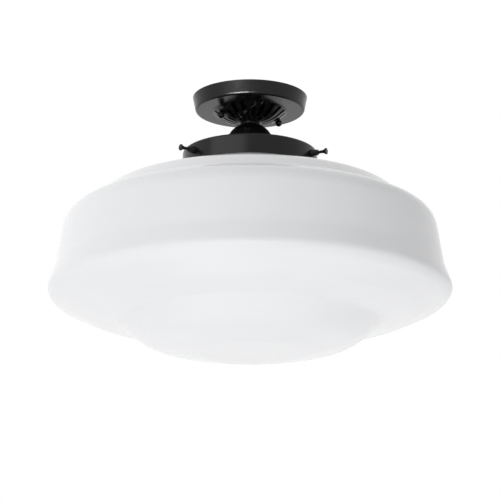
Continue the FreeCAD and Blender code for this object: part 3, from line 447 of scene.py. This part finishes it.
# The two canopy studs, threaded over their length, with a chamfer at their lower end.
STUD_R, STUD_X, STUD_PITCH, STUD_CHAMFER = 2.05, 36.5, 0.79, 0.6
STUD_AROUND = 40
stud_low, stud_high = heights("canopy_studs")
stud_outline = [Vector(point) for point in (
    (0, stud_low), (STUD_R - STUD_CHAMFER, stud_low), (STUD_R, stud_low + STUD_CHAMFER),
    (STUD_R, stud_high), (0, stud_high),
)]
studs = lathe(
    "studs_threaded", split_runs(stud_outline, STUD_PITCH / THREAD_ROWS), OXIDE,
    around=STUD_AROUND, places=[Matrix.Translation((x * MM, 0, 0)) for x in (STUD_X, -STUD_X)],
    relief=threaded(STUD_R, stud_low, stud_high, STUD_PITCH),
)
dress(studs, "fixture", "black_oxide_steel", "canopy_studs")

# The central tube, threaded over its length.
TUBE_R, TUBE_BORE_R, TUBE_PITCH, TUBE_CHAMFER = 5.1, 3.5, 0.94, 0.5
TUBE_AROUND = 64
tube_low, tube_high = heights("nipple")
tube_outline = [Vector(point) for point in (
    (TUBE_BORE_R, tube_low), (TUBE_R - TUBE_CHAMFER, tube_low), (TUBE_R, tube_low + TUBE_CHAMFER),
    (TUBE_R, tube_high - TUBE_CHAMFER), (TUBE_R - TUBE_CHAMFER, tube_high),
    (TUBE_BORE_R, tube_high), (TUBE_BORE_R, tube_low),
)]
tube = lathe(
    "nipple_threaded", split_runs(tube_outline, TUBE_PITCH / THREAD_ROWS)[:-1], OXIDE,
    around=TUBE_AROUND, relief=threaded(TUBE_R, tube_low, tube_high, TUBE_PITCH),
)
dress(tube, "fixture", "black_oxide_steel", "nipple")

# The lamp's cap: a thread rolled into its thin sheet, over a plain skirt.
CAP_SHEET, CAP_HOLE_R, CAP_ROUND = 0.35, 6.3, 1.05
CAP_PITCH, CAP_DEPTH, CAP_PLAIN_TOP, CAP_SKIRT = 3.63, 0.9, 1.6, 4.6
CAP_STEP_DEG, CAP_ROWS, CAP_AROUND = 10.0, 12, 96


def rolled(low, high, pitch, depth):
    """Relief of a rounded thread that both faces of the cap's sheet follow."""

    def relief(r, height, angle):
        if r < CAP_HOLE_R + depth or not low < height < high:
            return 0.0
        turn = height / pitch - angle / (2 * math.pi)
        wave = 0.5 - 0.5 * math.cos(2 * math.pi * turn)
        return depth * lead_in(height, low, high, pitch) * wave
    return relief


cap_low, cap_high = (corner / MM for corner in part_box("lamp_cap"))
cap_r, cap_top, cap_foot = cap_high.x, cap_high.z, cap_low.z
bore_r, bore_top = cap_r - CAP_SHEET, cap_top - CAP_SHEET
cap_outline = rounded([
    (CAP_HOLE_R, cap_top), (cap_r, cap_top, CAP_ROUND), (cap_r, cap_foot),
    (bore_r, cap_foot), (bore_r, bore_top, CAP_ROUND - CAP_SHEET), (CAP_HOLE_R, bore_top),
], CAP_STEP_DEG)
lamp_cap = lathe(
    "lamp_cap_threaded", split_runs(cap_outline, CAP_PITCH / CAP_ROWS),
    MATERIALS["lamp_cap_metal"], around=CAP_AROUND,
    relief=rolled(cap_foot + CAP_SKIRT, cap_top - CAP_PLAIN_TOP, CAP_PITCH, CAP_DEPTH),
)
dress(lamp_cap, "lamp", "lamp_cap_metal", "lamp_cap")


# ------------------------------------------------------------------ light, floor and camera

# Heading of the camera's view in the row frame; the photograph's left is 90 degrees on.
VIEW_DEG = 66.0


def toward(bearing_deg, reach, height):
    """A point at a bearing counted from the camera's view direction, to its left."""
    angle = math.radians(VIEW_DEG + bearing_deg)
    return Vector((reach * math.cos(angle), reach * math.sin(angle), height))


def combine(tree, operation, first, second):
    """Works one number out of two, each of them a socket or a float."""
    made = tree.nodes.new("ShaderNodeMath")
    made.operation = operation
    for socket, value in zip(made.inputs, (first, second)):
        if isinstance(value, float):
            socket.default_value = value
        else:
            tree.links.new(value, socket)
    return made.outputs[0]


def sees_white(tree):
    """1 for a camera, transmission or glossy ray, which sees a plain white background, else 0."""
    path = tree.nodes.new("ShaderNodeLightPath")
    seen = path.outputs["Is Camera Ray"]
    for ray in ("Is Transmission Ray", "Is Glossy Ray"):
        seen = combine(tree, "MAXIMUM", seen, path.outputs[ray])
    return seen


# What the background gives to diffuse rays: an even level, and lobes of (strength, direction).
WORLD_EVEN = 0.145
WORLD_LOBES = ((0.88, toward(0, 1, 0)), (1.0, toward(90, 0.7, 0.7)))


def studio_world():
    """White to the rays that see white; to the others a level that varies with direction."""
    world = bpy.data.worlds.new("studio")
    scene.world = world
    world.use_nodes = True
    tree = world.node_tree
    direction = tree.nodes.new("ShaderNodeTexCoord")
    level = WORLD_EVEN
    for amount, way in WORLD_LOBES:
        dot = tree.nodes.new("ShaderNodeVectorMath")
        dot.operation = "DOT_PRODUCT"
        dot.inputs[1].default_value = way
        tree.links.new(direction.outputs["Generated"], dot.inputs[0])
        facing = combine(tree, "MAXIMUM", dot.outputs["Value"], 0.0)
        level = combine(tree, "ADD", combine(tree, "MULTIPLY", facing, amount), level)
    white = sees_white(tree)
    level = combine(tree, "MULTIPLY", level, combine(tree, "SUBTRACT", 1.0, white))
    background = tree.nodes["Background"]
    background.inputs["Color"].default_value = grey(1.0)
    tree.links.new(combine(tree, "ADD", level, white), background.inputs["Strength"])


DISC_SEGMENTS = 96


def staged_disc(name, radius, height, material):
    """A flat disc on the fixture's axis that isn't part of the object; its sizes are in metres."""
    bm = bmesh.new()
    bmesh.ops.create_circle(bm, cap_ends=True, segments=DISC_SEGMENTS, radius=radius)
    mesh = bpy.data.meshes.new(name)
    bm.to_mesh(mesh)
    bm.free()
    mesh.materials.append(material)
    made = bpy.data.objects.new(name, mesh)
    made.location.z = height
    scene.collection.objects.link(made)


# A room's floor, under a fixture on its ceiling. Between two distances from the axis it turns
# into the white background.
FLOOR_LEVEL, FLOOR_RADIUS = -3.4, 9.0
FADE_FROM, FADE_TO = 2.5, 6.5


def floor():
    """Pale paper that keeps the shadow, and turns into the white background further out."""
    s = Surface("floor_paper", Roughness=0.9)
    s.colour(s.ramp(s.noise(2.0), grey(0.9), grey(0.93)))
    coordinates = s.node("ShaderNodeTexCoord")
    distance = s.node("ShaderNodeVectorMath")
    distance.operation = "LENGTH"
    s.link(coordinates.outputs["Object"], distance.inputs[0])
    fade = s.node("ShaderNodeMapRange", From_Min=FADE_FROM, From_Max=FADE_TO)
    fade.interpolation_type = "SMOOTHSTEP"
    s.link(distance.outputs["Value"], fade.inputs["Value"])
    white = s.node("ShaderNodeEmission", Color=grey(1.0), Strength=1.0)
    mix = s.node("ShaderNodeMixShader")
    s.link(combine(s.tree, "MULTIPLY", fade.outputs["Result"], sees_white(s.tree)), mix.inputs[0])
    s.link(s.shader.outputs["BSDF"], mix.inputs[1])
    s.link(white.outputs["Emission"], mix.inputs[2])
    s.link(mix.outputs["Shader"], s.tree.nodes["Material Output"].inputs["Surface"])
    staged_disc("floor", FLOOR_RADIUS, FLOOR_LEVEL, s.material)


def softbox(name, place, aim, size, watts):
    """An area lamp at a place, turned to a point, that the camera doesn't see."""
    data = bpy.data.lights.new(name, "AREA")
    data.shape = "RECTANGLE"
    data.size, data.size_y = size
    data.energy = watts
    made = bpy.data.objects.new(name, data)
    made.location = place
    made.rotation_euler = (Vector(aim) - Vector(place)).to_track_quat("-Z", "Y").to_euler()
    made.visible_camera = False
    scene.collection.objects.link(made)
    return made


def reflector(name, place, aim, size, watts, seen_in):
    """A lamp that lights nothing and shows only as a gleam in these objects' gloss."""
    made = softbox(name, place, aim, size, watts)
    made.data.shape = "ELLIPSE"
    made.visible_diffuse = False
    receivers = bpy.data.collections.new(name)
    for shiny in seen_in:
        receivers.objects.link(shiny)
    made.light_linking.receiver_collection = receivers


studio_world()
floor()

# What the lamps are turned to.
SHADE_MIDDLE, CANOPY_EDGE, CANOPY_WALL = (0, 0, -0.2), (0, 0, -0.02), (0, 0, -0.05)
canopy, cup = nodes["canopy"], nodes["fitter_cup"]
low_lamp = softbox(
    "low", place=toward(183, 2.2, -1.3), aim=SHADE_MIDDLE, size=(3.0, 2.0), watts=26.0,
)
# It shows in no gloss, because on the glass it would clip to white from the side.
low_lamp.visible_glossy = False
reflector(
    "rim_gleam", place=toward(180, 2.0, -1.1), aim=SHADE_MIDDLE, size=(2.0, 1.2), watts=4.0,
    seen_in=[shade],
)
reflector(
    "edge_line", place=toward(156, 2.05, -1.0), aim=CANOPY_EDGE, size=(1.5, 0.95), watts=165.0,
    seen_in=[canopy],
)
reflector(
    "wall_sheen", place=toward(142, 2.3, 0.7), aim=CANOPY_WALL, size=(2.8, 1.3), watts=14.0,
    seen_in=[canopy, cup],
)

# Painted shade: the shade inside the ceiling box behind the mounting plate's holes is painted as a
# near-black disc within the plate's thickness, with its radius and height in mm.
BOX_SHADE_R, BOX_SHADE_Z = 54.0, -1.0
painted_shade_disc = Surface("painted_shade_disc", Base_Color=grey(0.002), Roughness=1.0)
staged_disc("painted_box_shade", BOX_SHADE_R * MM, BOX_SHADE_Z * MM, painted_shade_disc.material)

# The camera looks up at the fixture from in front of it, as in the photograph.
SENSOR_MM, LENS_MM = 36.0, 151.2
CAMERA_REACH, CAMERA_HEIGHT, CAMERA_UP_DEG = 2.311, -0.798, 14.92
camera_data = bpy.data.cameras.new("camera")
camera_data.sensor_width = SENSOR_MM
camera_data.lens = LENS_MM
camera = bpy.data.objects.new("camera", camera_data)
camera.location = toward(180, CAMERA_REACH, CAMERA_HEIGHT)
camera.rotation_euler = (math.radians(90 + CAMERA_UP_DEG), 0, math.radians(VIEW_DEG - 90))
scene.collection.objects.link(camera)
scene.camera = camera
scene.view_settings.view_transform = "Standard"
